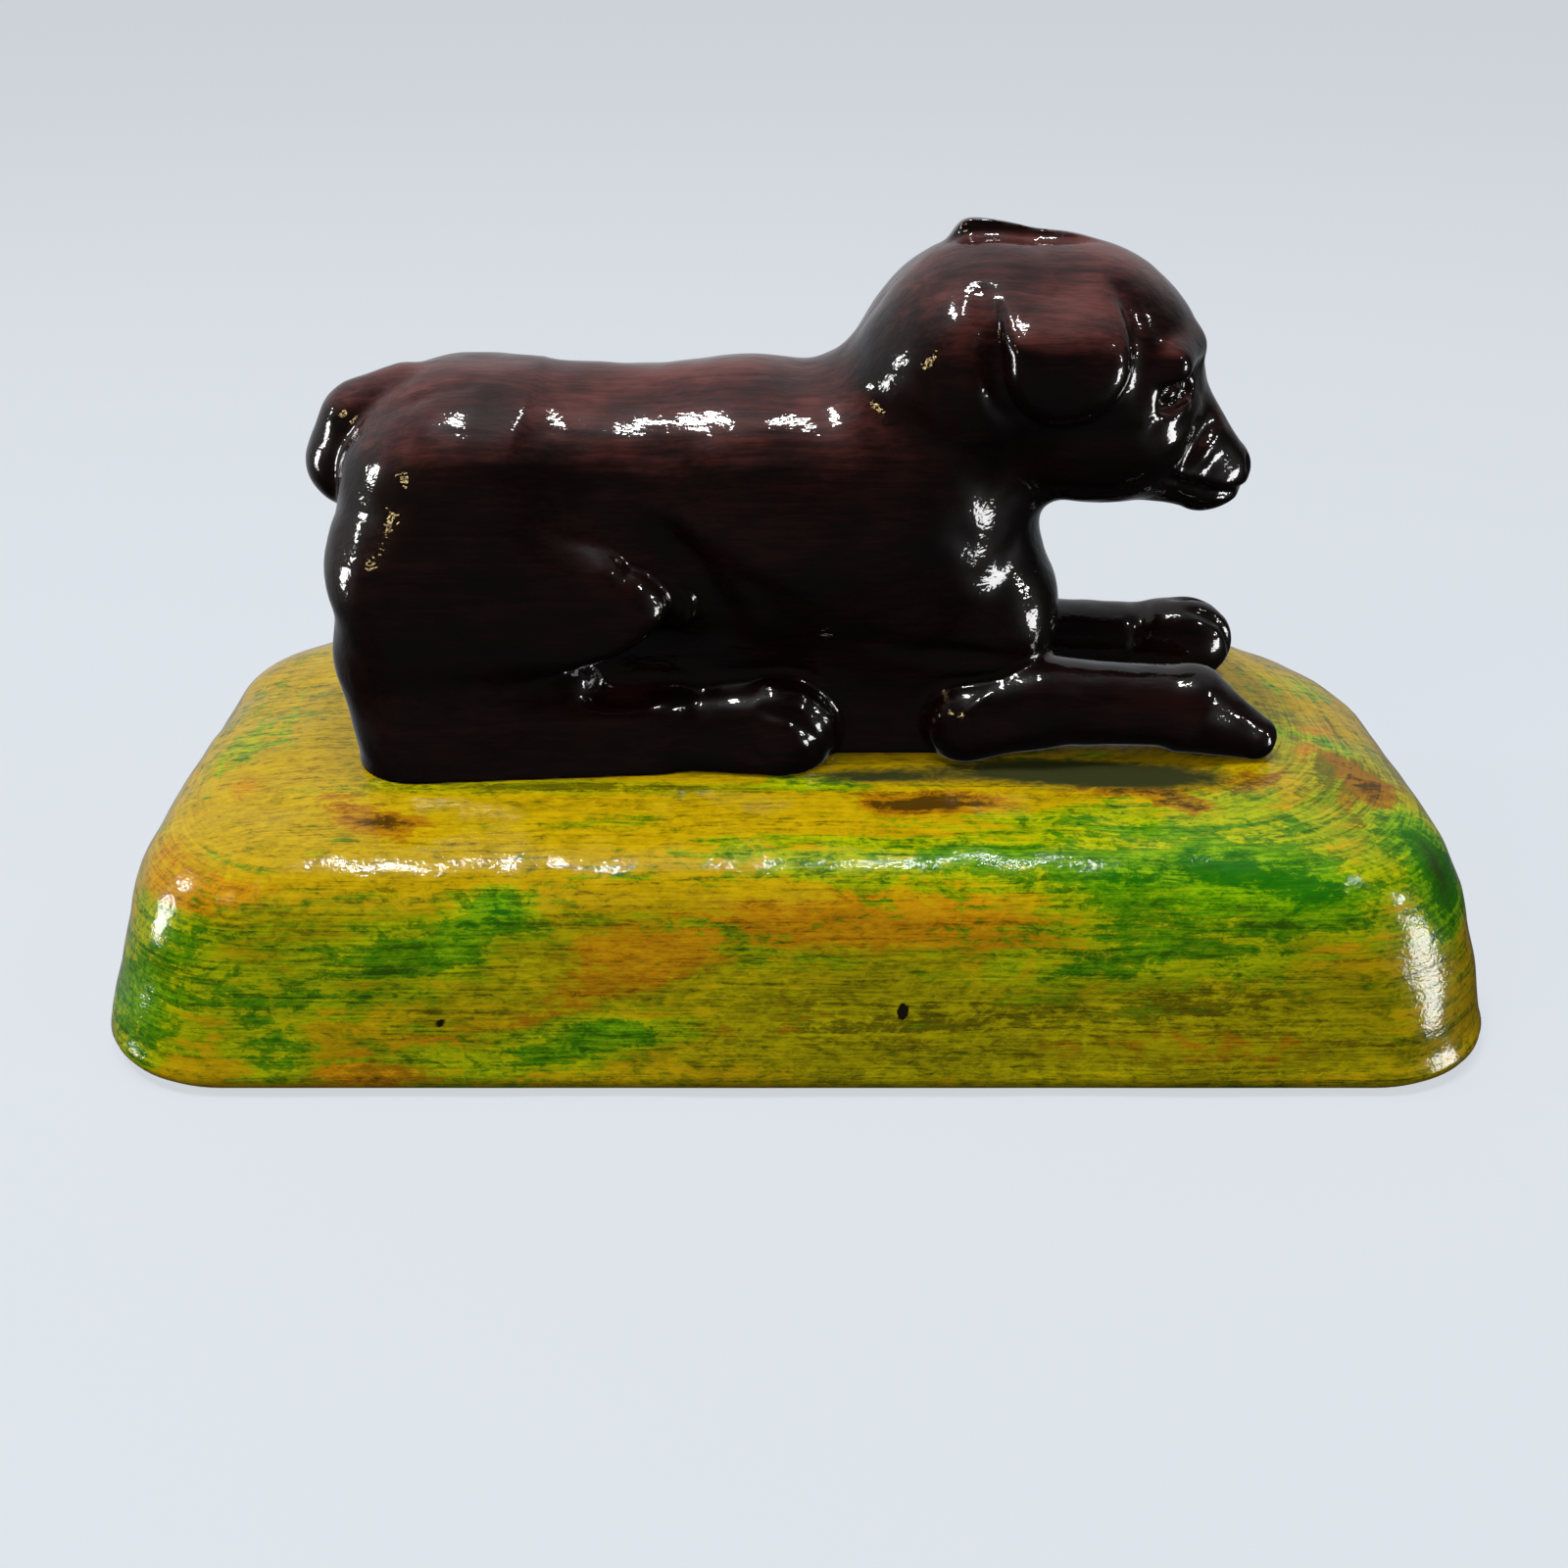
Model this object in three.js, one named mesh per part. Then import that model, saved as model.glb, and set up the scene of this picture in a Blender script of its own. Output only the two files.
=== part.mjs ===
// A carved puppy lying on a painted wooden base, in millimetres, +Z up.
// The puppy faces +X. The origin is on the underside of the base, at its middle.
// The puppy is one carved piece, glued to the flat seat on top of the pillow-shaped base.

import * as THREE from "three";

// Driving dimensions of the base
const BASE_LENGTH = 210;
const BASE_WIDTH = 100;
const BASE_HEIGHT = 37.2;
const SEAT_LENGTH = 154;
const SEAT_WIDTH = 60;
const NEAR_CORNER_RADIUS = 20;
const FAR_LEFT_CORNER_RADIUS = 20;
const FAR_RIGHT_CORNER_RADIUS = 35;
const UNDERSIDE_ROUNDING = 3.2;

// The seat lies back towards +Y by this share of the way in to it from a side, and the corners
// of each level of the base grow by this share of the level's mean side inset.
const BACKWARD_LEAN = 0.25;
const CORNER_GROWTH = 0.35;

// Driving dimensions of the puppy
const DOG_LENGTH = 145.5;
const GLUE_LINE = 0.3;

// The puppy is laid out on a pattern 145.5 long, and everything on it keeps its share of that.
const DOG_SCALE = DOG_LENGTH / 145.5;

const OUTLINE_STEPS = 56;

const WOOD_BROWN = new THREE.MeshStandardMaterial({ color: 0x3a1512, roughness: 0.22, metalness: 0 });
const MEADOW_PAINT = new THREE.MeshStandardMaterial({ color: 0xb59a12, roughness: 0.35, metalness: 0 });

// Field of the puppy: below zero inside the wood, above zero outside, near to a distance in between.
// Points and sizes are in pattern millimetres, with z up from the seat.

function smoothUnion(a, b, blend) {
  const share = Math.max(blend - Math.abs(a - b), 0) / blend;
  return Math.min(a, b) - (share * share * blend) / 4;
}

function smoothCut(a, cutter, blend) {
  return -smoothUnion(-a, cutter, blend);
}

// An egg: its centre, its three radii, and its turn in degrees about Y (nose down is positive).
function egg([x, y, z], centre, radii, turn = 0) {
  const angle = THREE.MathUtils.degToRad(turn);
  const dx = x - centre[0];
  const dz = z - centre[2];
  const px = dx * Math.cos(angle) - dz * Math.sin(angle);
  const pz = dx * Math.sin(angle) + dz * Math.cos(angle);
  const py = y - centre[1];
  const reach = Math.hypot(px / radii[0], py / radii[1], pz / radii[2]);
  const slope = Math.hypot(px / radii[0] ** 2, py / radii[1] ** 2, pz / radii[2] ** 2);
  return slope < 1e-9 ? -Math.min(...radii) : (reach * (reach - 1)) / slope;
}

// A limb: a ball of one radius drawn into a ball of another, flattened sideways by a share.
function limb([x, y, z], from, to, fromRadius, toRadius, flat = 1) {
  const run = [to[0] - from[0], (to[1] - from[1]) / flat, to[2] - from[2]];
  const gone = [x - from[0], (y - from[1]) / flat, z - from[2]];
  const dot = run[0] * gone[0] + run[1] * gone[1] + run[2] * gone[2];
  const length2 = run[0] ** 2 + run[1] ** 2 + run[2] ** 2;
  const along = THREE.MathUtils.clamp(dot / length2, 0, 1);
  const away = Math.hypot(gone[0] - along * run[0], gone[1] - along * run[1], gone[2] - along * run[2]);
  const gap = away - (fromRadius + (toRadius - fromRadius) * along);
  return gap * Math.min(flat, 1);
}

// A bar with rounded edges along a straight line: half widths sideways and up, at its start and end.
function bar([x, y, z], from, to, fromHalf, toHalf, rounding) {
  const run = [to[0] - from[0], to[1] - from[1], to[2] - from[2]];
  const length = Math.hypot(...run);
  const way = run.map((v) => v / length);
  const gone = [x - from[0], y - from[1], z - from[2]];
  const along = gone[0] * way[0] + gone[1] * way[1] + gone[2] * way[2];
  const share = THREE.MathUtils.clamp(along / length, 0, 1);
  const level = Math.hypot(way[0], way[1]);
  const side = (gone[1] * way[0] - gone[0] * way[1]) / level;
  const up = (gone[2] - along * way[2]) / level;
  const halfSide = fromHalf[0] + (toHalf[0] - fromHalf[0]) * share;
  const halfUp = fromHalf[1] + (toHalf[1] - fromHalf[1]) * share;
  const over = [
    Math.abs(side) - halfSide + rounding,
    Math.abs(up) - halfUp + rounding,
    Math.abs(along - length / 2) - length / 2 + rounding,
  ];
  const outside = Math.hypot(Math.max(over[0], 0), Math.max(over[1], 0), Math.max(over[2], 0));
  return outside + Math.min(Math.max(...over), 0) - rounding;
}

function torso(p) {
  let d = limb(p, [-47, 0, 35.4], [-10, 0, 34.6], 20.6, 20.8, 0.9);
  d = smoothUnion(d, egg(p, [2, 0, 33.6], [33, 21.6, 21.2]), 8);
  d = smoothUnion(d, limb(p, [13, 0, 34], [17.5, 0, 24], 18.6, 17.6), 7);
  d = smoothUnion(d, limb(p, [28, 6, 18], [28, -6, 18], 9.6, 9.6), 4);
  const belly = bar(p, [-60, 0, 8], [26, 0, 8], [14.6, 14], [14.2, 13], 5);
  return smoothUnion(d, belly, 5);
}

function neckAndSkull(p) {
  const d = limb(p, [13.6, 0, 37.4], [26.8, 0, 56], 17.9, 17.5, 0.98);
  return smoothUnion(d, egg(p, [38, 0, 55.3], [19.4, 16.4, 17.5]), 3);
}

function muzzle(p) {
  const mirrored = [p[0], Math.abs(p[1]), p[2]];
  let d = limb(p, [49, 0, 51], [61.3, 0, 40.3], 9.3, 5.6, 0.88);
  d = smoothUnion(d, limb(p, [40, 0, 46], [58.5, 0, 39.4], 9.6, 4.4, 1.1), 3);
  return smoothUnion(d, egg(mirrored, [44, 7, 48.5], [11, 8, 9.5]), 4);
}

function brow(p) {
  const mirrored = [p[0], Math.abs(p[1]), p[2]];
  return limb(mirrored, [53.4, 4, 58.6], [48, 12, 56.4], 2.8, 3.2);
}

function eyeSocket(p) {
  return egg([p[0], Math.abs(p[1]), p[2]], [53, 10, 53.2], [4.4, 4, 3], 15);
}

function eyeball(p) {
  return egg([p[0], Math.abs(p[1]), p[2]], [51, 8.6, 53.2], [3.3, 3.3, 3]);
}

// The ear hangs from the top of the skull as a thick flap with a U-shaped end.
function ear(p) {
  const near = p[1] < 0;
  const y = Math.abs(p[1]);
  const above = Math.max(p[2] - 61, 0);
  const dx = (p[0] - (near ? 35.9 - 0.18 * above : 35 - 0.34 * above)) / (near ? 8.8 : 9.4);
  const down = (p[2] - 61) / 9.2;
  const outline = (p[2] > 61 ? Math.abs(dx) - 1 : Math.hypot(dx, down) - 1) * 9;
  const lobe = Math.min(1, Math.hypot(dx, (p[2] - 59) / 9));
  const fade = near ? 2.4 : 1.6 + 1.1 * Math.max(dx, -0.8);
  const thick = 3.4 + 0.8 * (1 - lobe) - fade * THREE.MathUtils.smoothstep(p[2], 63, 72);
  const flap = Math.max(neckAndSkull([p[0], y, p[2]]) - thick, (near ? 7.5 : 0.5) - y);
  return -smoothUnion(-flap, -outline, 4);
}

function earGroove(p) {
  return limb([p[0], Math.abs(p[1]), p[2]], [24.8, 15.6, 69], [25, 18.6, 55], 2.6, 3.2);
}

// A slab with a rounded rim: how far a point is outside its outline and beyond its half thickness.
function slab(outline, across, halfThick, rim) {
  const a = outline + rim;
  const b = Math.abs(across) - halfThick + rim;
  return Math.hypot(Math.max(a, 0), Math.max(b, 0)) + Math.min(Math.max(a, b), 0) - rim;
}

// The thigh is an oval slab with a broad rounded rim; its outline narrows to the knee.
function haunch(p) {
  const flat = [p[0], 0, p[2]];
  const thigh = limb(flat, [-45.2, 0, 30.6], [-27.4, 0, 21.8], 21.6, 10);
  const buttock = limb(flat, [-53.6, 0, 27], [-44, 0, 22.4], 13.8, 13);
  return slab(smoothUnion(thigh, buttock, 5), p[1], 23.6, 12);
}

// The shank is folded under the thigh, from high at the back down to the foot.
function shank(p) {
  return limb([p[0], Math.abs(p[1]), p[2]], [-58, 12.2, 16], [-36, 13.4, 10.6], 9.4, 7.4);
}

function hindFoot(p) {
  const y = Math.abs(p[1]);
  const q = [p[0], y, p[2]];
  const sole = limb([p[0], y, 0], [-56.6, 14, 0], [-22, 14, 0], 9.8, 7.2);
  let d = slab(sole, p[2], 10.6, 5);
  d = smoothUnion(d, limb(q, [-58.8, 11.4, 15], [-57.6, 12, 6], 7.4, 9), 3);
  return smoothUnion(d, limb(q, [-22, 14, 3.4], [-3.2, 14.4, 4.4], 6.6, 8.8, 0.9), 2);
}

function tail(p) {
  const root = limb(p, [-47, 0, 48.5], [-56, 0, 49.4], 6, 6.4);
  const curl = limb(p, [-56, 0, 49.4], [-62.6, 0, 46.8], 6.4, 6.9);
  return Math.min(root, curl, limb(p, [-62.6, 0, 46.8], [-66, 0, 41.2], 6.9, 6.5));
}

function foreleg(p) {
  const near = p[1] < 0;
  const q = [p[0], near ? -p[1] - 12.2 : p[1] - 14, p[2]];
  let d = limb(q, [25.5, 1, 6], [36, 0.4, 8.2], 7, 7);
  d = smoothUnion(d, limb(q, [36, 0.4, near ? 8.2 : 7], [58, 0, 6.4], near ? 7 : 6.2, 6), 2);
  const paw = near
    ? limb(q, [59, 0.6, 6.2], [67.4, 1.6, 3.9], 6.6, 5.6)
    : egg(q, [63.4, -0.2, 6.2], [9, 6.8, 7.4]);
  return smoothUnion(d, paw, 2.5);
}

function puppy(p) {
  let d = torso(p);
  d = smoothUnion(d, neckAndSkull(p), 5);
  d = smoothUnion(d, muzzle(p), 3);
  d = smoothUnion(d, brow(p), 2.5);
  d = smoothCut(d, eyeSocket(p), 2);
  d = smoothUnion(d, eyeball(p), 0.6);
  d = smoothCut(d, earGroove(p), 3);
  d = smoothUnion(d, ear(p), 1.4);
  d = smoothUnion(d, haunch(p), 1.6 + 4 * THREE.MathUtils.smoothstep(p[2], 26, 44));
  d = smoothUnion(d, shank(p), 1.6);
  d = smoothUnion(d, hindFoot(p), 1.6);
  d = smoothUnion(d, tail(p), 1);
  d = smoothUnion(d, foreleg(p), 1.4);
  return Math.max(d, GLUE_LINE / DOG_SCALE - p[2]);
}

// Grid lines across the puppy: wide steps over the plain body, close ones over the head and paws.
function gridLines(stops) {
  const lines = [stops[0][0]];
  for (let i = 0; i + 1 < stops.length; i += 1) {
    const [start, step] = stops[i];
    const end = stops[i + 1][0];
    const count = Math.max(1, Math.round((end - start) / step));
    for (let k = 1; k <= count; k += 1) lines.push(start + ((end - start) * k) / count);
  }
  return lines;
}

const GRID = [
  gridLines([[-80, 3.7], [18, 2.6], [78, 1]]),
  gridLines([[-28, 3.1], [28, 1]]),
  gridLines([[-3, 2.9], [5.7, 1.7], [14.2, 3.7], [46, 2.5], [79, 1]]),
];

// Where the surface would pinch to a line or a point inside a cell, the corner that lies nearest
// to it changes side, until no face or cell has opposite corners alone on one side.
function unpinch(values, size, at) {
  const pairs = [
    [[0, 3, 1, 2]],
    [[0, 5, 1, 4]],
    [[0, 6, 2, 4]],
    [0, 1, 2, 3].map((c) => [c, 7 - c, ...[0, 1, 2, 3, 4, 5, 6, 7].filter((o) => o !== c && o !== 7 - c)]),
  ].flat();
  let changed = true;
  while (changed) {
    changed = false;
    for (let k = 0; k + 1 < size[2]; k += 1)
      for (let j = 0; j + 1 < size[1]; j += 1)
        for (let i = 0; i + 1 < size[0]; i += 1)
          for (const [first, opposite, ...others] of pairs) {
            const cells = [first, opposite, ...others].map((c) => at(i + (c & 1), j + ((c >> 1) & 1), k + (c >> 2)));
            const inside = cells.map((cell) => values[cell] < 0);
            if (inside[0] !== inside[1] || inside.slice(2).some((side) => side === inside[0])) continue;
            const nearest = cells.reduce((a, b) => (Math.abs(values[b]) < Math.abs(values[a]) ? b : a));
            values[nearest] = values[nearest] < 0 ? 0.01 : -0.01;
            changed = true;
          }
  }
}

// The surface where the field is zero, with one point in each grid cell that it passes through.
function surfaceOf(field, [xs, ys, zs]) {
  const size = [xs.length, ys.length, zs.length];
  const at = (i, j, k) => (k * size[1] + j) * size[0] + i;
  const values = new Float64Array(size[0] * size[1] * size[2]);
  for (let k = 0; k < size[2]; k += 1)
    for (let j = 0; j < size[1]; j += 1)
      for (let i = 0; i < size[0]; i += 1) values[at(i, j, k)] = field([xs[i], ys[j], zs[k]]);
  unpinch(values, size, at);

  const points = [];
  const pointOfCell = new Map();
  const corner = (i, j, k, c) => at(i + (c & 1), j + ((c >> 1) & 1), k + (c >> 2));
  for (let k = 0; k + 1 < size[2]; k += 1)
    for (let j = 0; j + 1 < size[1]; j += 1)
      for (let i = 0; i + 1 < size[0]; i += 1) {
        const sum = [0, 0, 0];
        let crossings = 0;
        for (let c = 0; c < 8; c += 1)
          for (let axis = 0; axis < 3; axis += 1) {
            if ((c >> axis) & 1) continue;
            const a = values[corner(i, j, k, c)];
            const b = values[corner(i, j, k, c | (1 << axis))];
            if (a < 0 === b < 0) continue;
            const share = a / (a - b);
            const offset = [c & 1, (c >> 1) & 1, c >> 2];
            offset[axis] = share;
            sum[0] += xs[i] + offset[0] * (xs[i + 1] - xs[i]);
            sum[1] += ys[j] + offset[1] * (ys[j + 1] - ys[j]);
            sum[2] += zs[k] + offset[2] * (zs[k + 1] - zs[k]);
            crossings += 1;
          }
        if (!crossings) continue;
        pointOfCell.set(at(i, j, k), points.length / 3);
        points.push(sum[0] / crossings, sum[1] / crossings, sum[2] / crossings);
      }

  const faces = [];
  const step = [1, size[0], size[0] * size[1]];
  for (let k = 1; k + 1 < size[2]; k += 1)
    for (let j = 1; j + 1 < size[1]; j += 1)
      for (let i = 1; i + 1 < size[0]; i += 1)
        for (let axis = 0; axis < 3; axis += 1) {
          const here = at(i, j, k);
          const inside = values[here] < 0;
          if (inside === values[here + step[axis]] < 0) continue;
          const u = step[(axis + 1) % 3];
          const v = step[(axis + 2) % 3];
          const ring = [here - u - v, here - v, here, here - u].map((cell) => pointOfCell.get(cell));
          if (!inside) ring.reverse();
          faces.push(ring[0], ring[1], ring[2], ring[0], ring[2], ring[3]);
        }
  return { points, faces };
}

// Moves each point along the field's slope until it lies on the surface.
function settle(points, field) {
  const h = 0.05;
  for (let n = 0; n < points.length; n += 3)
    for (let round = 0; round < 3; round += 1) {
      const p = [points[n], points[n + 1], points[n + 2]];
      const value = field(p);
      const slope = [0, 1, 2].map((axis) => {
        const ahead = [...p];
        ahead[axis] += h;
        return (field(ahead) - value) / h;
      });
      const steep2 = Math.max(slope[0] ** 2 + slope[1] ** 2 + slope[2] ** 2, 0.05);
      const move = THREE.MathUtils.clamp(value / steep2, -0.6, 0.6);
      for (let axis = 0; axis < 3; axis += 1) points[n + axis] -= move * slope[axis];
    }
}

function dogGeometry() {
  const { points, faces } = surfaceOf(puppy, GRID);
  settle(points, puppy);
  const geometry = new THREE.BufferGeometry();
  geometry.setAttribute("position", new THREE.Float32BufferAttribute(points, 3));
  geometry.setIndex(faces);
  geometry.scale(DOG_SCALE, DOG_SCALE, DOG_SCALE);
  return geometry;
}

// Rounded rectangle of the base at one level, as points in order round it. The insets are how far
// it lies in from the base's ends, near side and far side.
function baseOutline(endInset, nearInset, farInset) {
  const sideInset = (nearInset + farInset) / 2;
  const a = BASE_LENGTH / 2 - endInset;
  const b = BASE_WIDTH / 2 - sideInset;
  const corners = [
    [1, -1, NEAR_CORNER_RADIUS, -90],
    [1, 1, FAR_RIGHT_CORNER_RADIUS, 0],
    [-1, 1, FAR_LEFT_CORNER_RADIUS, 90],
    [-1, -1, NEAR_CORNER_RADIUS, 180],
  ];
  const perCorner = OUTLINE_STEPS / 4;
  const points = [];
  for (const [sx, sy, radius, start] of corners) {
    const r = Math.min(radius + sideInset * CORNER_GROWTH, b * 0.98);
    for (let k = 0; k < perCorner; k += 1) {
      const angle = THREE.MathUtils.degToRad(start + (90 * k) / (perCorner - 1));
      const x = sx * (a - r) + r * Math.cos(angle);
      points.push([x, sy * (b - r) + r * Math.sin(angle) + (nearInset - farInset) / 2]);
    }
  }
  return points;
}

// Levels of the base above its rounded underside edge, as shares of the whole way in to the seat
// from the ends, the near side and the far side, and of the whole height. The near side is fuller.
const SHOULDER = [
  [0.057, 0.05, 0.08, 0.27],
  [0.143, 0.11, 0.19, 0.48],
  [0.221, 0.17, 0.31, 0.67],
  [0.314, 0.245, 0.45, 0.81],
  [0.395, 0.33, 0.545, 0.88],
  [0.486, 0.43, 0.65, 0.925],
  [0.732, 0.7, 0.85, 0.977],
  [1, 1, 1, 1],
];

// Levels of the base from its underside to its seat: end, near and far inset, and height.
function baseLevels() {
  const round = UNDERSIDE_ROUNDING;
  const endInset = (BASE_LENGTH - SEAT_LENGTH) / 2;
  const sideInset = (BASE_WIDTH - SEAT_WIDTH) / 2;
  const shoulder = SHOULDER.map(([end, near, far, height]) => [
    end * endInset,
    near * sideInset * (1 + BACKWARD_LEAN),
    far * sideInset * (1 - BACKWARD_LEAN),
    height * BASE_HEIGHT,
  ]);
  const start = round * 0.3;
  return [[round, round, round, 0], [start, start, start, start], [0, 0, 0, round], ...shoulder];
}

function baseGeometry() {
  const rings = baseLevels().map(([endInset, nearInset, farInset, height]) =>
    baseOutline(endInset, nearInset, farInset).map(([x, y]) => [x, y, height]),
  );
  const count = rings[0].length;
  const points = rings.flat(2);
  const faces = [];
  for (let r = 0; r + 1 < rings.length; r += 1)
    for (let k = 0; k < count; k += 1) {
      const next = (k + 1) % count;
      const [a, b, c, d] = [r * count + k, r * count + next, (r + 1) * count + next, (r + 1) * count + k];
      faces.push(a, b, c, a, c, d);
    }
  const underside = points.length / 3;
  points.push(0, 0, 0, 0, 0, BASE_HEIGHT);
  const last = (rings.length - 1) * count;
  for (let k = 0; k < count; k += 1) {
    const next = (k + 1) % count;
    faces.push(underside, next, k);
    faces.push(underside + 1, last + k, last + next);
  }
  const geometry = new THREE.BufferGeometry();
  geometry.setAttribute("position", new THREE.Float32BufferAttribute(points, 3));
  geometry.setIndex(faces);
  return geometry;
}

const base = new THREE.Mesh(baseGeometry(), MEADOW_PAINT);
base.name = "base";

const dog = new THREE.Mesh(dogGeometry(), WOOD_BROWN);
dog.name = "dog";
dog.position.z = BASE_HEIGHT;

const sculpture = new THREE.Group();
sculpture.add(base, dog);

export default sculpture;
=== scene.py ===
import math

import bpy
import numpy as np
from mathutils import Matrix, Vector


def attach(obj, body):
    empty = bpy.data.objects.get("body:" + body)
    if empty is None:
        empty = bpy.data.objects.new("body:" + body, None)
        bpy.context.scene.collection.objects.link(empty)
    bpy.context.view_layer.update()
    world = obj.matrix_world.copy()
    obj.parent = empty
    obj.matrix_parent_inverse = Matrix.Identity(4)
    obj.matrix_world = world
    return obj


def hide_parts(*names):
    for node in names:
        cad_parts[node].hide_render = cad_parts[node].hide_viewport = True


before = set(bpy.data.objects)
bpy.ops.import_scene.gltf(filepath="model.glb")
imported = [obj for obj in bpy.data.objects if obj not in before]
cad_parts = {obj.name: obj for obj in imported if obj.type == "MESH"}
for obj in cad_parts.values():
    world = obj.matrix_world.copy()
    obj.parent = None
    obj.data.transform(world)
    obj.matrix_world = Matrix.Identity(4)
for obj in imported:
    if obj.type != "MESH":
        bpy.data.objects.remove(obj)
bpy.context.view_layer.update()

# Sizes in millimetres, with the origin in the middle of the base's underside. The puppy is shaped
# in its own millimetres, with z up from the seat that it lies on.
BASE_LENGTH, BASE_WIDTH, BASE_HEIGHT = 210.0, 100.0, 37.2
SEAT_LENGTH, SEAT_WIDTH = 154.0, 60.0
NEAR_CORNER_RADIUS, FAR_LEFT_CORNER_RADIUS, FAR_RIGHT_CORNER_RADIUS = 20.0, 20.0, 35.0
UNDERSIDE_ROUNDING = 3.2
BACKWARD_LEAN = 0.25
CORNER_GROWTH = 0.35
WOOD_CELL = 0.6
PUPPY_LOW, PUPPY_HIGH = (-75.0, -26.4, -1.5), (76.0, 26.4, 78.0)
EYE = (51.6, 11.2, 54.4)
MM = 0.001


# Shapes of the carving, as fields: below zero in the wood, above zero outside, near to a distance.


def smooth_union(a, b, blend):
    """The lower of two fields, less a quarter of the blend where they are equal, fading with their gap."""
    share = np.maximum(blend - np.abs(a - b), 0) / blend
    return np.minimum(a, b) - share * share * blend / 4


def smooth_cut(a, cutter, blend):
    """The first field with the second one taken away: the union of their outsides, turned round."""
    return -smooth_union(-a, cutter, blend)


def smoothstep(v, low, high):
    """0 below low, 1 above high; between them three times the square of the share of the way, less
    twice its cube."""
    t = np.clip((v - low) / (high - low), 0, 1)
    return t * t * (3 - 2 * t)


def egg(p, centre, radii):
    """An ellipsoid: a point's reach in radii, times what it has beyond one, over the reach's slope."""
    away = [v - c for v, c in zip(p, centre)]
    reach = np.sqrt(sum((v / r) ** 2 for v, r in zip(away, radii)))
    slope = np.sqrt(sum((v / r**2) ** 2 for v, r in zip(away, radii)))
    return reach * (reach - 1) / np.maximum(slope, 1e-6)


def along_line(p, start, end, flat=1.0):
    """Share of the way from start to end at the nearest point, and distance to it, sideways over flat."""
    run = np.array([end[0] - start[0], (end[1] - start[1]) / flat, end[2] - start[2]])
    gone = [p[0] - start[0], (p[1] - start[1]) / flat, p[2] - start[2]]
    share = np.clip((run[0] * gone[0] + run[1] * gone[1] + run[2] * gone[2]) / (run @ run), 0, 1)
    away = sum((g - share * r) ** 2 for g, r in zip(gone, run))
    return share, np.sqrt(away)


def limb(p, start, end, start_radius, end_radius, flat=1.0):
    """A ball of one radius drawn along a line into a ball of another, flattened sideways."""
    share, away = along_line(p, start, end, flat)
    return (away - (start_radius + (end_radius - start_radius) * share)) * min(flat, 1.0)


def bar(p, start, end, start_half, end_half, rounding):
    """A box along a level line, its half width and half height running from one end's to the other's."""
    length = end[0] - start[0]
    along = p[0] - start[0]
    share = np.clip(along / length, 0, 1)
    over = [
        np.abs(p[1] - start[1]) - (start_half[0] + (end_half[0] - start_half[0]) * share) + rounding,
        np.abs(p[2] - start[2]) - (start_half[1] + (end_half[1] - start_half[1]) * share) + rounding,
        np.abs(along - length / 2) - length / 2 + rounding,
    ]
    outside = np.sqrt(sum(np.maximum(o, 0) ** 2 for o in over))
    return outside + np.minimum(np.maximum(np.maximum(over[0], over[1]), over[2]), 0) - rounding


def slab(outline, across, half, rim):
    """An outline with thickness: the corner of its rounded rim is a quarter circle of the rim's radius."""
    a, b = outline + rim, np.abs(across) - half + rim
    return np.hypot(np.maximum(a, 0), np.maximum(b, 0)) + np.minimum(np.maximum(a, b), 0) - rim


def stroke(p, points, width, ends=0.5):
    """A carved stroke along a broken line: a bell over the distance to it, as wide as given, that
    fades to the share `ends` at its first and last points."""
    best = np.full_like(p[0], 1e9)
    where = np.zeros_like(p[0])
    count = len(points) - 1
    for i in range(count):
        share, away = along_line(p, points[i], points[i + 1])
        nearer = away < best
        best = np.where(nearer, away, best)
        where = np.where(nearer, (i + share) / count, where)
    fade = ends + (1 - ends) * np.sin(math.pi * where) ** 0.7
    return np.exp(-((best / width) ** 2)) * fade


def mirrored(p):
    """The point with its y made positive, for forms that both sides share."""
    return [p[0], np.abs(p[1]), p[2]]


def torso(p):
    """Barrel of the body, chest, breast and the squared mass below them that rests on the seat."""
    d = limb(p, [-47, 0, 35.4], [-10, 0, 34.6], 20.6, 20.8, 0.9)
    d = smooth_union(d, egg(p, [2, 0, 33.6], [33, 21.6, 21.2]), 8)
    d = smooth_union(d, limb(p, [13, 0, 34], [17.5, 0, 24], 18.6, 17.6), 7)
    d = smooth_union(d, limb(p, [28, 6, 18], [28, -6, 18], 9.6, 9.6), 4)
    return smooth_union(d, bar(p, [-60, 0, 8], [26, 0, 8], [14.6, 14], [14.2, 13], 5), 5)


def neck_and_skull(p):
    """A thick neck drawn up into the egg of the skull."""
    d = limb(p, [13.6, 0, 37.4], [26.8, 0, 56], 17.9, 17.5, 0.98)
    d = smooth_union(d, egg(mirrored(p), [21.4, 6.6, 56.6], [10.5, 12.2, 11.5]), 5)
    return smooth_union(d, egg(p, [38, 0, 55.3], [19.4, 16.4, 17.5]), 3)


def muzzle(p):
    """Bridge of the nose, jaw under it, and a cheek on each side."""
    q = mirrored(p)
    d = limb(p, [49, 0, 51], [61.3, 0, 40.3], 9.3, 5.6, 0.88)
    d = smooth_union(d, limb(p, [40, 0, 46], [58.5, 0, 39.4], 9.6, 4.4, 1.1), 4)
    return smooth_union(d, egg(q, [44, 7, 48.5], [11, 8, 9.5]), 5.5)


def eye_frame(p):
    """Coordinates at an eye: along the lids towards the nose, up, and out of the face."""
    x, y, z = p[0] - EYE[0], np.abs(p[1]) - EYE[1], p[2] - EYE[2]
    forward, out = x * 0.76 - y * 0.65, x * 0.65 + y * 0.76
    return [forward, z - 0.2 * forward, out]


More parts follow.
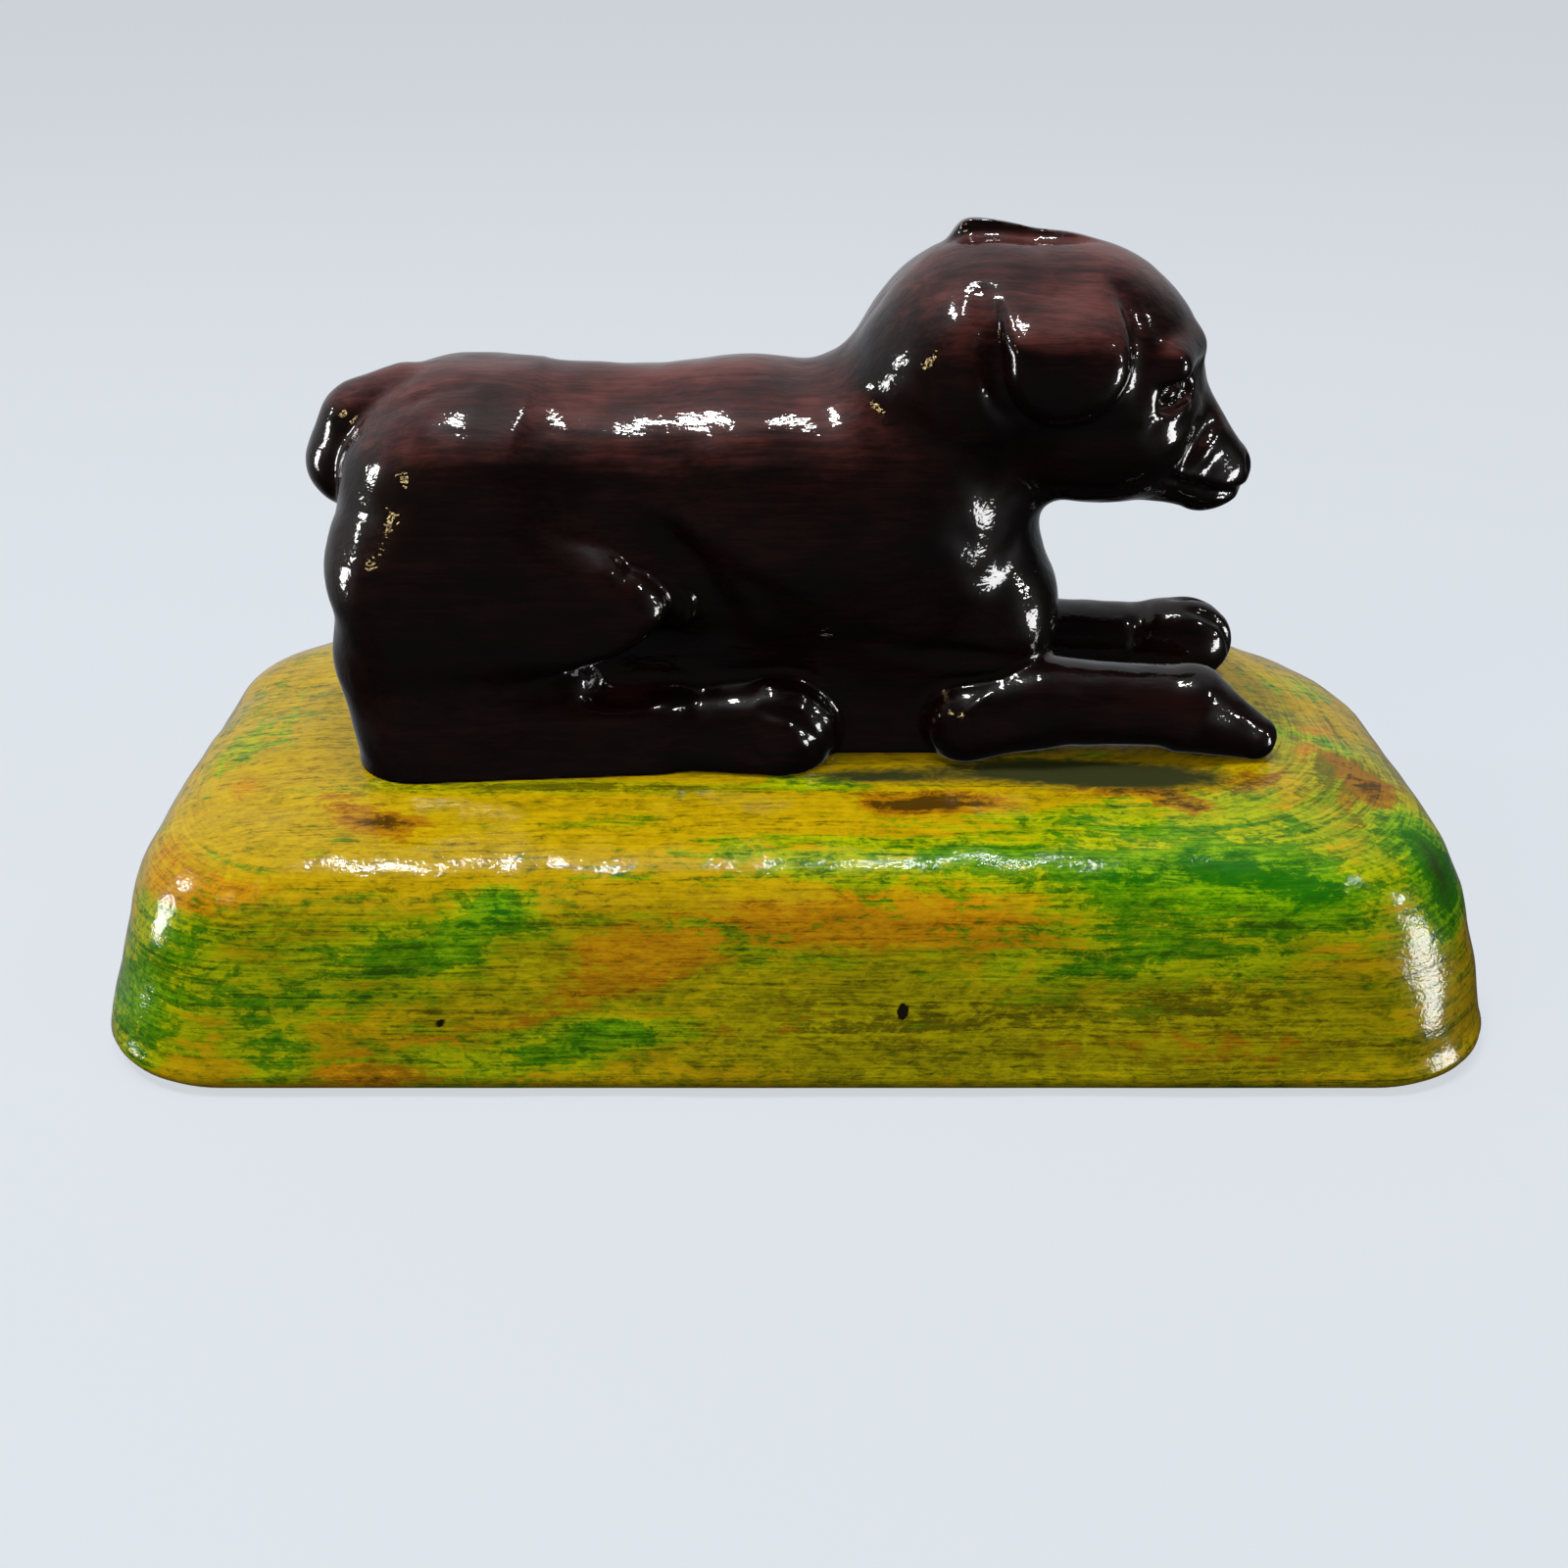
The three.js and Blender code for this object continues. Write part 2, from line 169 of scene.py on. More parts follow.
def ear(p):
    """A thick flap off the skull inside a U-shaped outline; the far one is fuller towards its back."""
    near = p[1] < 0
    q = mirrored(p)
    above = np.maximum(p[2] - 61, 0)
    dx = (p[0] - np.where(near, 35.9 - 0.18 * above, 35 - 0.34 * above)) / np.where(near, 8.8, 9.4)
    down = (p[2] - 61) / 9.2
    outline = (np.where(p[2] > 61, np.abs(dx) - 1, np.hypot(dx, down) - 1)) * 9
    lobe = np.minimum(1, np.hypot(dx, (p[2] - 59) / 9))
    fade = np.where(near, 3.3, 1.75 + 1.1 * np.maximum(dx, -0.8))
    thick = np.where(near, 2.9, 3.3) + 1.4 * (1 - lobe * lobe) - fade * smoothstep(p[2], 62, 72)
    flap = np.maximum(neck_and_skull(q) - thick, np.where(near, 7.5, 0.5) - q[1])
    return -smooth_union(-flap, -outline, 3.6)


def haunch(p):
    """Thigh and buttock as one slab with a broad rounded rim that leans in towards the back. Below it
    ends at a hanging curve, and in front a slanting facet takes off its corner above the knee."""
    x, y, z = p[0], np.abs(p[1]), p[2]
    level = [x, np.zeros_like(x), z]
    thigh = limb(level, [-45.2, 0, 30.6], [-26.4, 0, 24.4], 21.6, 8.8)
    buttock = limb(level, [-53.6, 0, 27], [-44, 0, 22.4], 13.8, 13)
    rim = 12 - 6.5 * smoothstep(x - 0.4 * (z - 30), -38, -25)
    d = slab(smooth_union(thigh, buttock, 5), y + 0.34 * np.maximum(z - 33, 0), 23.6, rim)
    hang = 16.1 + np.where(x < -38, 8 * ((x + 38) / 26) ** 2, 9 * ((x + 38) / 20) ** 2)
    under = (hang - z) / np.where(x < -38, 1.15, 1.3)
    d = -smooth_union(-d, -under, 3.0)
    facet = 0.50 * (x + 21.8) + 0.66 * (y - 23.2) + 0.56 * (z - 32)
    return -smooth_union(-d, -facet, 0.6)


def shank(p):
    """The lower leg, folded under the thigh from high at the back down to the foot."""
    return limb(mirrored(p), [-58, 12.2, 16], [-36, 13.4, 10.6], 9.4, 7.4)


def hind_foot(p):
    """Long flat foot from a square heel to a rounded toe."""
    q = mirrored(p)
    sole = limb([q[0], q[1], np.zeros_like(q[0])], [-56.6, 14, 0], [-22, 14, 0], 9.8, 7.2)
    d = slab(sole, p[2], 11.4, 3 + 5.5 * smoothstep(-p[0], 36, 60))
    d = smooth_union(d, limb(q, [-58.8, 11.4, 15], [-57.2, 12, 9], 7.4, 8.6), 3)
    return smooth_union(d, limb(q, [-22, 14, 3.4], [-3.2, 14.4, 4.4], 6.6, 8.8, 0.9), 2)


def tail(p):
    """Docked tail: three tapered lengths, each on the end of the last, that curl down over the rump."""
    root = limb(p, [-47, 0, 48.5], [-56, 0, 49.4], 6, 6.4)
    curl = limb(p, [-56, 0, 49.4], [-62.6, 0, 46.8], 6.4, 6.9)
    return np.minimum(np.minimum(root, curl), limb(p, [-62.6, 0, 46.8], [-66, 0, 41.2], 6.9, 6.5))


def foreleg(p):
    """Elbow, forearm and paw; the near paw slopes down to its tip, the far one is a round fist."""
    near = p[1] < 0
    q = [p[0], np.where(near, -p[1] - 12.2, p[1] - 14), p[2]]
    elbow = limb(q, [25.5, 1, 6], [36, 0.4, 8.2], 7, 7)
    near_leg = smooth_union(elbow, limb(q, [36, 0.4, 8.2], [58.5, 0.2, 7.2], 7, 6.3), 2)
    near_leg = smooth_union(near_leg, limb(q, [60, 0.6, 6.7], [69.4, 1.8, 2.8], 6.7, 3.5), 1.6)
    far_leg = smooth_union(elbow, limb(q, [36, 0.4, 7], [58, 0, 6.4], 6.2, 6), 2)
    far_leg = smooth_union(far_leg, egg(q, [63.4, -0.2, 6.2], [9, 6.8, 7.4]), 2.5)
    return np.where(near, near_leg, far_leg)


def puppy(p):
    """The whole carving: masses joined, then creases cut and ridges raised with the gouge."""
    q = mirrored(p)
    near = np.where(p[1] < 0, 1.0, 0.0)
    far = 1 - near
    eye = eye_frame(p)

    head = smooth_union(neck_and_skull(p), muzzle(p), 3)
    head = smooth_union(head, limb(q, [54.4, 4, 59.2], [50.6, 11.2, 58.6], 2.6, 2.9), 2.2)
    head += 0.7 * stroke(q, [[56.6, 5.4, 57.6], [53.4, 10.4, 56.8], [49.6, 13.6, 55.2]], 1.2)
    head = smooth_cut(head, egg(eye, [0.4, 0.1, 1.0], [4.0, 2.0, 2.7]), 1.0)
    head = smooth_union(head, egg(eye, [0.6, 0.0, -2.2], [3.0, 1.5, 2.3]), 0.4)
    head -= 0.6 * stroke(q, [[55.4, 9.6, 55.8], [54, 10.6, 53.4], [51.6, 12, 51.4], [49.4, 13, 51]], 0.75)
    head += 0.35 * stroke(q, [[50.2, 12.9, 52], [47.6, 15.2, 50.6], [44, 15.6, 50.4]], 1.4)
    head -= 0.6 * stroke(q, [[56, 7.2, 52], [53.6, 10.2, 50], [51, 12.4, 48]], 1.3)
    head += 0.7 * stroke(q, [[58.4, 5.2, 48.6], [55.6, 7.6, 46], [53.6, 8.2, 43]], 1.5)
    head -= 0.7 * stroke(q, [[60.6, 4, 47], [58.2, 6.2, 45], [56.4, 6.8, 42.4]], 1.4)
    mouth = [[67.2, 0, 37.6], [64.4, 3.6, 38], [60, 5.2, 38.8], [55, 6.9, 40.8], [51.4, 9.2, 42.6]]
    head += 1.0 * stroke(q, mouth, 0.8)
    head -= 0.5 * stroke(q, [[61, 4.8, 40.2], [57, 6.6, 41], [53, 9, 42.8]], 1.2)
    head += 0.9 * stroke(q, [[63.2, 0, 36.4], [62.6, 2.6, 37]], 0.8, 0.9)
    head += 0.5 * stroke(q, [[65.4, 1.9, 42.4], [65.9, 2.7, 41.4]], 0.7, 0.9)

    d = smooth_union(torso(p), head, 5)
    d = smooth_union(d, egg(q, [29.0, 4.5, 20.5], [9.8, 10.0, 10.5]), 6)
    behind_ear = [[24.2, 13.4, 69], [25, 16.4, 66], [25.4, 18.2, 61], [26.8, 19, 56], [30.5, 19, 52]]
    d += 1.3 * stroke(q, behind_ear, 2.0)
    d = smooth_union(d, ear(p), 0.6 + 1.6 * far)
    d += 0.7 * stroke(q, [[43.4, 10.4, 69], [45.6, 13, 65], [46.6, 14.8, 61], [46, 16, 56]], 1.4)
    d += 0.35 * far * stroke(q, [[24, 1.2, 73.8], [21.6, 1, 71.6], [21, 4, 70]], 1.2)

    d += 0.6 * stroke(q, [[12, 16, 54], [16, 17, 51.5], [20.6, 18, 48], [25.5, 17.4, 44]], 2.6)
    rib = [[-24, 17.3, 43.5], [-15.4, 19.8, 39.7], [-7.4, 21.6, 35.7], [-0.2, 21.7, 31.5], [6.4, 19.6, 24]]
    d -= 0.5 * stroke(q, rib, 3.0)
    d += 0.8 * stroke(q, [[-20, 17.6, 37.4], [-12, 19.2, 34.2], [-5, 19.6, 29.4], [-1, 19, 24]], 3.4)
    d += 1.1 * stroke(q, [[12, 18.4, 20.2], [16.7, 17.3, 18.3], [23.8, 16.3, 17.6], [31.8, 14.5, 17.0]], 1.7)

    d += 2.4 * stroke(q, [[-22, 20, 39], [-15.5, 20, 32], [-11, 19.6, 26], [-11, 19, 19]], 3.2, 0.2)
    d = smooth_union(d, haunch(p), 1.2 + 8 * smoothstep(p[2], 34, 48))
    knee_rim = [[-17.2, 19.6, 30], [-15.2, 19, 27.4], [-15.6, 18.6, 24.6], [-17.4, 18.2, 21.4]]
    d -= 0.9 * stroke(q, knee_rim, 0.75, 0.3)
    back = smoothstep(-p[0], 32, 56)
    d = smooth_union(d, shank(p), 1.2 + 8 * back)
    d = smooth_union(d, hind_foot(p), 2.2 + 6 * back)
    d += 1.6 * stroke(q, [[-27, 18.4, 12.2], [-24.4, 18, 12.6]], 1.8, 0.9)
    d -= 0.8 * stroke(q, [[-5, 16.6, 12.6], [0.6, 17, 11.6], [4.6, 16.6, 7.4], [6, 16, 2]], 1.1)
    d += 0.5 * stroke(q, [[-5, 20, 10.4], [-0.6, 20.4, 9.2], [2.6, 20.6, 6], [3.6, 20.4, 2]], 1.1)
    d += 0.35 * stroke(q, [[-40, 23.4, 5], [-22, 22.4, 5.6], [-9, 22, 5.6], [-4, 21.6, 2.4]], 1.0)

    d = smooth_union(d, tail(p), 0.8)
    d += 0.5 * stroke(q, [[-46, 8.6, 54.6], [-53, 9.4, 52.4], [-60, 8.6, 47.4], [-64, 7, 40.6]], 1.4)
    d = smooth_union(d, foreleg(p), 1.1)
    d -= 0.4 * stroke(q, [[24.4, 20.4, 7], [25.4, 19.2, 9.9], [27.5, 18.2, 11.6]], 1.0)
    for y in (10.6, 14.4, 17.6):
        d += 1.3 * far * stroke(p, [[62, y, 14], [69.5, y, 10.5], [72.6, y, 5], [72.4, y, 1]], 0.75)
    for y in (-16.2, -12.2):
        d += 0.45 * near * stroke(p, [[66, y, 9.4], [71.2, y, 6.6], [73.4, y, 2]], 0.7)
    d += 1.0 * far * stroke(p, [[55.6, 8.4, 6], [56, 9.4, 10.4], [57, 14, 12.6]], 1.6)
    return np.maximum(d, 0.02 - p[2])


def chisel(p, seed, wave, count=14):
    """Even, random-looking swell: the mean of sines in random directions, about `wave` mm long."""
    rng = np.random.default_rng(seed)
    total = 0
    for _ in range(count):
        way = rng.normal(size=3)
        way *= 2 * math.pi / (wave * rng.uniform(0.75, 1.4) * np.linalg.norm(way))
        total = total + np.sin(way[0] * p[0] + way[1] * p[1] + way[2] * p[2] + rng.uniform(0, 6.3))
    return total / math.sqrt(count / 2)


# Meshes


def net(field, low, high, cell):
    """Points and quads of the surface where the field is zero. One point in each grid cell that the
    surface passes through, at the mean of its crossings of the cell's edges; one quad round each
    grid edge that it crosses. Only grid points near to the surface have their field worked out."""
    coarse = 4
    near_enough = cell * coarse * 1.15 + 1.6
    blocks = np.ceil((np.array(high) - low) / (cell * coarse)).astype(int)
    size = blocks * coarse
    middle = [low[a] + (np.arange(blocks[a]) + 0.5) * cell * coarse for a in range(3)]
    rough = field([v.ravel() for v in np.meshgrid(*middle, indexing="ij")]).reshape(blocks)
    values = np.repeat(np.repeat(np.repeat(rough, coarse, 0), coarse, 1), coarse, 2)
    close = np.argwhere(np.abs(values) < near_enough)
    values[tuple(close.T)] = field([low[a] + close[:, a] * cell for a in range(3)])

    inside = values < 0
    total = np.zeros(size - 1, np.int8)
    corner_slices = []
    for c in range(8):
        bits = [(c >> a) & 1 for a in range(3)]
        part = tuple(slice(b, size[a] - 1 + b) for a, b in enumerate(bits))
        corner_slices.append(part)
        total += inside[part]
    cells = np.argwhere((total > 0) & (total < 8))
    number = np.full(size - 1, -1)
    number[tuple(cells.T)] = np.arange(len(cells))
    corner = np.stack([values[part][tuple(cells.T)] for part in corner_slices], 1)
    place = np.zeros((len(cells), 3))
    crossings = np.zeros(len(cells))
    for c in range(8):
        for axis in range(3):
            if (c >> axis) & 1:
                continue
            a, b = corner[:, c], corner[:, c | (1 << axis)]
            cross = (a < 0) != (b < 0)
            share = np.where(cross, a / np.where(cross, a - b, 1), 0)
            for k in range(3):
                place[:, k] += np.where(cross, share if k == axis else (c >> k) & 1, 0)
            crossings += cross
    points = np.array(low) + (cells + place / crossings[:, None]) * cell

    quads = []
    for axis in range(3):
        u, v = (axis + 1) % 3, (axis + 2) % 3
        first = [slice(0, -1) if a == axis else slice(None) for a in range(3)]
        second = [slice(1, None) if a == axis else slice(None) for a in range(3)]
        start = inside[tuple(first)]
        at = np.argwhere(start != inside[tuple(second)])
        at = at[(at[:, u] > 0) & (at[:, v] > 0) & (at[:, u] < size[u] - 1) & (at[:, v] < size[v] - 1)]
        du, dv = np.eye(3, dtype=int)[u], np.eye(3, dtype=int)[v]
        ring = np.stack([number[tuple((at - s).T)] for s in (du + dv, dv, 0 * dv, du)], 1)
        back = ~start[tuple(at.T)]
        ring[back] = ring[back][:, ::-1]
        quads.append(ring)
    return points, np.concatenate(quads)


def slope_at(field, points, reach=0.06):
    """Value and slope of a field at points, by steps along each axis."""
    p = list(points.T)
    value = field(p)
    moved = [field([v + reach * (a == k) for k, v in enumerate(p)]) for a in range(3)]
    return value, np.stack([(m - value) / reach for m in moved], 1)


def carve_puppy():
    """Surface of the puppy's field, moved onto it along its slope, with the swell left by the gouge.
    Also returns how far each point faces up, from -1 to 1, less on the low parts, which the lacquer
    turns into painted light from above."""
    points, quads = net(puppy, PUPPY_LOW, PUPPY_HIGH, WOOD_CELL)
    for _ in range(2):
        value, slope = slope_at(puppy, points)
        steep = np.maximum((slope**2).sum(1), 0.05)
        points = points - np.clip(value / steep, -0.4, 0.4)[:, None] * slope
    p = list(points.T)
    out = slope / np.sqrt(np.maximum((slope**2).sum(1), 1e-6))[:, None]
    swell = 0.10 * chisel(p, 3, 14) + 0.028 * chisel(p, 4, 5)
    strokes = 0.008 * chisel([p[0] * 0.5, p[1] * 1.4, p[2] * 1.4], 5, 3)
    held = smoothstep(p[2], 0.3, 2.0)
    points = points + out * ((swell + strokes - 0.12) * held)[:, None]
    points[:, 2] = np.maximum(points[:, 2], 0.02)
    # How far each point faces up, less low down: the lacquer's painted light from above follows it.
    light_from_above = out[:, 2] * (0.35 + 0.65 * smoothstep(points[:, 2], 36, 50))
    return points + [0, 0, BASE_HEIGHT], quads, light_from_above


def smooth_path(points, count):
    """Even curve through points: Catmull-Rom pieces over the length along them."""
    points = np.asarray(points, float)
    length = np.concatenate([[0], np.cumsum(np.linalg.norm(np.diff(points, axis=0), axis=1))])
    tangent = np.gradient(points, length, axis=0)
    t = np.linspace(0, length[-1], count)
    i = np.clip(np.searchsorted(length, t, side="right") - 1, 0, len(points) - 2)
    run = (length[i + 1] - length[i])[:, None]
    s = (t[:, None] - length[i][:, None]) / run
    return (
        (2 * s**3 - 3 * s**2 + 1) * points[i]
        + (s**3 - 2 * s**2 + s) * run * tangent[i]
        + (3 * s**2 - 2 * s**3) * points[i + 1]
        + (s**3 - s**2) * run * tangent[i + 1]
    )


def rounded_rectangle(end_inset, near_inset, far_inset):
    """Rings of the base, each with its distance in from the ends, the near side and the far side: four
    arcs joined by straight runs. Returns x and y with a row for each ring."""
    corner_steps, end_steps, side_steps = 22, 26, 110
    side_inset = (near_inset + far_inset) / 2
    a = BASE_LENGTH / 2 - end_inset[:, None]
    b = BASE_WIDTH / 2 - side_inset[:, None]
    corners = [
        (1, -1, NEAR_CORNER_RADIUS, -90),
        (1, 1, FAR_RIGHT_CORNER_RADIUS, 0),
        (-1, 1, FAR_LEFT_CORNER_RADIUS, 90),
        (-1, -1, NEAR_CORNER_RADIUS, 180),
    ]
    arcs = []
    for sx, sy, radius, start in corners:
        r = np.minimum(radius + side_inset[:, None] * CORNER_GROWTH, b * 0.98)
        angle = np.radians(start + 90 * np.linspace(0, 1, corner_steps))[None, :]
        arcs.append((sx * (a - r) + r * np.cos(angle), sy * (b - r) + r * np.sin(angle)))
    xs, ys = [], []
    for i, (x, y) in enumerate(arcs):
        nx, ny = arcs[(i + 1) % 4]
        steps = end_steps if i % 2 == 0 else side_steps
        share = (np.arange(1, steps) / steps)[None, :]
        xs += [x, x[:, -1:] + (nx[:, :1] - x[:, -1:]) * share]
        ys += [y, y[:, -1:] + (ny[:, :1] - y[:, -1:]) * share]
    return np.concatenate(xs, 1), np.concatenate(ys, 1) + (near_inset - far_inset)[:, None] / 2


def shape_base():
    """Rings from the middle of the underside, round its edge, up the walls and over the shoulder to
    the middle of the seat, with the unevenness of planing by hand pressed into them. Also returns how
    far each point lies from the underside's edge, measured across the rings."""
    ends, sides = (BASE_LENGTH - SEAT_LENGTH) / 2, (BASE_WIDTH - SEAT_WIDTH) / 2
    near, far = sides * (1 + BACKWARD_LEAN), sides * (1 - BACKWARD_LEAN)
    r, h = UNDERSIDE_ROUNDING, BASE_HEIGHT
    foot_rings, wall_rings, seat_rings = 6, 67, 34
    turn = np.linspace(0, math.pi / 2, foot_rings + 1)[1:]
    foot = np.stack([r - r * np.sin(turn)] * 3 + [r - r * np.cos(turn)], 1)
    # Shares of the way in at an end, the near side and the far side, and of the height.
    shares = np.array([
        [0.057, 0.05, 0.08, 0.27], [0.143, 0.11, 0.19, 0.48], [0.221, 0.17, 0.31, 0.67],
        [0.314, 0.245, 0.45, 0.81], [0.395, 0.33, 0.545, 0.88], [0.486, 0.43, 0.65, 0.925],
        [0.732, 0.7, 0.85, 0.977], [1, 1, 1, 1],
    ])
    wall = np.concatenate([[[0, 0, 0, r]], shares * [ends, near, far, h]])
    wall = smooth_path(wall, wall_rings + 1)[1:]
    levels = np.concatenate([[[r, r, r, 0]], foot, wall, np.repeat([[ends, near, far, h]], seat_rings, 0)])
    levels = np.maximum(levels, 0)
    levels[:, 3] = np.minimum(levels[:, 3], h)
    x, y = rounded_rectangle(*levels[:, :3].T)
    z = np.repeat(levels[:, 3:], x.shape[1], 1)
    shrink = np.ones(len(levels))
    shrink[-seat_rings:] = 1 - np.arange(1, seat_rings + 1) / (seat_rings + 1)
    middle_y = (levels[:, 1:2] - levels[:, 2:3]) / 2
    x, y = x * shrink[:, None], middle_y + (y - middle_y) * shrink[:, None]

    # Unevenness, pressed in where neither the puppy stands nor the underside rests.
    p = [x, y, z]
    beside_puppy = smoothstep(np.abs(x), 66, 84) + smoothstep(np.abs(y), 24, 32)
    free = np.clip(beside_puppy + smoothstep(h - z, 0.5, 4), 0, 1) * smoothstep(z, 0.5, 6)
    press = np.maximum(free * (0.45 + 0.28 * chisel(p, 11, 34) + 0.10 * chisel(p, 12, 9)), 0)
    even = np.stack(p, 2)
    out = np.cross(np.roll(even, -1, 1) - np.roll(even, 1, 1), np.gradient(even, axis=0))
    out /= np.maximum(np.linalg.norm(out, axis=2, keepdims=True), 1e-9)
    uneven = even - out * press[..., None]

    # Four-sided faces between rings, and two fans that close the middles.
    rings, count = x.shape
    points = np.concatenate([uneven.reshape(-1, 3), [[0, 0, 0], [0, (near - far) / 2, h]]])
    k, n = np.meshgrid(np.arange(count), np.arange(rings - 1))
    after = (k + 1) % count
    low, high = n * count, (n + 1) * count
    quads = np.stack([low + k, low + after, high + after, high + k], 2).reshape(-1, 4)
    ring = np.arange(count)
    under = np.stack([np.full(count, rings * count), (ring + 1) % count, ring], 1)
    last = (rings - 1) * count
    over = np.stack([np.full(count, rings * count + 1), last + ring, last + (ring + 1) % count], 1)
    inward = np.concatenate([[0], np.cumsum(np.linalg.norm(np.diff(levels[:, [1, 3]], axis=0), axis=1))])
    inward = inward[:, None] + (1 - shrink[:, None]) * (BASE_WIDTH / 2 - levels[:, 1:2]) * np.ones((1, count))
    return points, quads, np.concatenate([under, over]), np.append(inward.ravel(), [0, inward.max()])


def make_piece(name, points, quads, triangles=None):
    """A smooth-shaded mesh object at the origin, from points in millimetres."""
    corners = np.concatenate([quads.ravel(), [] if triangles is None else triangles.ravel()]).astype(np.int32)
    sizes = np.concatenate([np.full(len(quads), 4), np.full(0 if triangles is None else len(triangles), 3)])
    mesh = bpy.data.meshes.new(name)
    mesh.vertices.add(len(points))
    mesh.vertices.foreach_set("co", (points * MM).astype(np.float32).ravel())
    mesh.loops.add(len(corners))
    mesh.loops.foreach_set("vertex_index", corners)
    mesh.polygons.add(len(sizes))
    mesh.polygons.foreach_set("loop_start", np.concatenate([[0], np.cumsum(sizes)[:-1]]).astype(np.int32))
    mesh.polygons.foreach_set("use_smooth", np.ones(len(sizes), bool))
    mesh.update(calc_edges=True)
    mesh.validate()
    piece = bpy.data.objects.new(name, mesh)
    bpy.context.scene.collection.objects.link(piece)
    return piece


def give_numbers(piece, name, values):
    """Stores one number for each point of a piece, for its material to read."""
    attribute = piece.data.attributes.new(name, "FLOAT", "POINT")
    attribute.data.foreach_set("value", np.ascontiguousarray(values, np.float32))


# Materials


class Value:
    """A number that a material works out: arithmetic on it adds Math nodes."""

    def __init__(self, board, socket):
        self.board, self.socket = board, socket

    def maths(self, operation, *others, clamp=False):
        """A Math node that takes this value and the others."""
        settings = {"operation": operation, "use_clamp": clamp}
        return Value(self.board, self.board.node("ShaderNodeMath", settings, [self, *others]).outputs[0])

    def __add__(self, other):
        return self.maths("ADD", other)

    def __sub__(self, other):
        return self.maths("SUBTRACT", other)

    def __mul__(self, other):
        return self.maths("MULTIPLY", other)

    def __rsub__(self, other):
        return self.maths("MULTIPLY", -1).maths("ADD", other)

    __radd__, __rmul__ = __add__, __mul__

    def clamp(self):
        """Held between 0 and 1."""
        return self.maths("ADD", 0.0, clamp=True)

    def step(self, low, high):
        """0 below low, 1 above high, smooth between."""
        inputs = {"Value": self, "From Min": low, "From Max": high}
        node = self.board.node("ShaderNodeMapRange", {"interpolation_type": "SMOOTHSTEP"}, inputs)
        return Value(self.board, node.outputs["Result"])


class Board:
    """The node tree of one material."""

    def __init__(self, name):
        self.material = bpy.data.materials.new(name)
        self.material.use_nodes = True
        self.tree = self.material.node_tree
        self.tree.nodes.clear()
        self.shader = self.node("ShaderNodeBsdfPrincipled")
        output = self.node("ShaderNodeOutputMaterial")
        self.tree.links.new(self.shader.outputs[0], output.inputs["Surface"])
        self.place = self.node("ShaderNodeTexCoord").outputs["Object"]

    def node(self, kind, settings=None, inputs=None, stops=None):
        """Adds a node: its settings first, then a ramp's stops, then the values or links of its sockets."""
        node = self.tree.nodes.new(kind)
        for key, value in (settings or {}).items():
            setattr(node, key, value)
        if stops:
            ramp = node.color_ramp
            while len(ramp.elements) < len(stops):
                ramp.elements.new(0.5)
            for element, (position, colour) in zip(ramp.elements, stops):
                element.position, element.color = position, (*colour, 1)
        pairs = enumerate(inputs) if isinstance(inputs, list) else (inputs or {}).items()
        for key, value in pairs:
            value = value.socket if isinstance(value, Value) else value
            if isinstance(value, bpy.types.NodeSocket):
                self.tree.links.new(value, node.inputs[key])
            else:
                node.inputs[key].default_value = value
        return node

    def scaled(self, stretch, shift=(0, 0, 0)):
        """Object coordinates in millimetres times a stretch along each axis."""
        scale = [s / MM for s in stretch]
        inputs = {"Vector": self.place, "Scale": scale, "Location": shift}
        return self.node("ShaderNodeMapping", None, inputs).outputs[0]

    def noise(self, where, detail=3.0, roughness=0.55, distortion=0.0):
        """Cloudy noise, whose cells are about one unit of the coordinates wide."""
        inputs = {
            "Vector": where, "Scale": 1.0,
            "Detail": detail, "Roughness": roughness, "Distortion": distortion,
        }
        return Value(self, self.node("ShaderNodeTexNoise", None, inputs).outputs["Fac"])

    def dot(self, way):
        """How far a point of the piece lies along a direction, in millimetres."""
        scale = tuple(w / MM for w in way)
        node = self.node("ShaderNodeVectorMath", {"operation": "DOT_PRODUCT"}, [self.place, scale])
        return Value(self, node.outputs["Value"])

    def joined(self, x, y, z):
        """Three numbers as the coordinates of a pattern."""
        return self.node("ShaderNodeCombineXYZ", None, [x, y, z]).outputs[0]

    def number(self, name):
        """A number stored on the piece's points."""
        return Value(self, self.node("ShaderNodeAttribute", {"attribute_name": name}).outputs["Fac"])

    def blend(self, share, first, second):
        """Two colours mixed by a share; each is a colour or a socket."""
        first, second = [(*c, 1) if isinstance(c, tuple) else c for c in (first, second)]
        return self.node("ShaderNodeMix", {"data_type": "RGBA"}, {0: share, 6: first, 7: second}).outputs[2]

    def ramp(self, share, *colours, middle=0.5):
        """Three colours: at 0, at the middle and at 1."""
        stops = list(zip((0.0, middle, 1.0), colours))
        return self.node("ShaderNodeValToRGB", None, {"Fac": share}, stops).outputs["Color"]

    def bump(self, height, distance, strength):
        """A normal tilted by a height from 0 to 1 that stands for a distance in millimetres."""
        inputs = {"Height": height, "Distance": distance * MM, "Strength": strength}
        return self.node("ShaderNodeBump", None, inputs).outputs["Normal"]

    def finish(self, colour, roughness, normal, **fixed):
        """Links what varies to the shader, and sets what is the same all over."""
        self.tree.links.new(colour, self.shader.inputs["Base Color"])
        self.tree.links.new(roughness.socket, self.shader.inputs["Roughness"])
        self.tree.links.new(normal, self.shader.inputs["Normal"])
        for key, value in fixed.items():
            self.shader.inputs[key.replace("_", " ")].default_value = value
        return self.material


